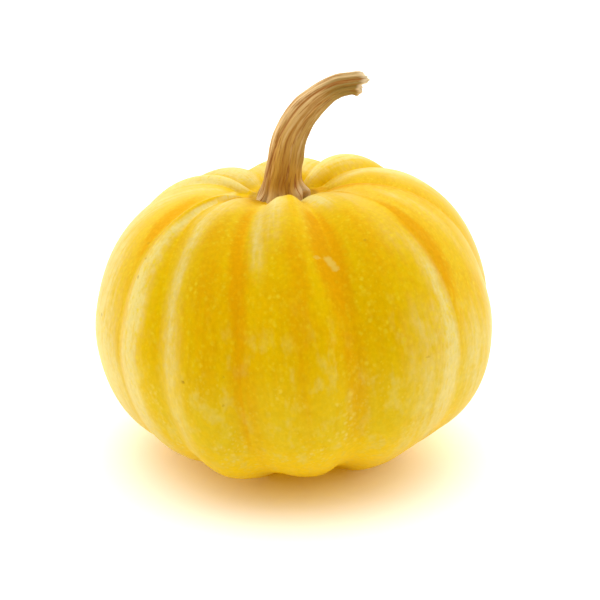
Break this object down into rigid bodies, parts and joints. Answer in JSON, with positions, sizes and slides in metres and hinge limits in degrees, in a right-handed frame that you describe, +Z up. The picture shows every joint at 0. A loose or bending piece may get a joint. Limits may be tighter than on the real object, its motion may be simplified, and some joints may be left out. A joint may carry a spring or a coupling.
{
  "type": "pumpkin",
  "caption": "Small ornamental pumpkin, flattened-round with ribs and furrows, and a dry ridged stem that curves to one side.",
  "frame": {"origin": "middle of the fruit's footprint, on the surface that the fruit rests on", "axes": "+Z up, -Y towards the viewer of the front, +X the side that the stem curves to"},
  "size_m": [0.1004, 0.1068, 0.0978],
  "materials": {
    "fruit_skin": "satin waxy squash skin, golden yellow with orange furrows, pale stripes and fine pale speckles",
    "stem_bark": "dry matt woody stem, tan ridges with red-brown grooves"
  },
  "bodies": {
    "root": {"fruit": "fruit_skin", "stem": "stem_bark"}
  },
  "joints": []
}
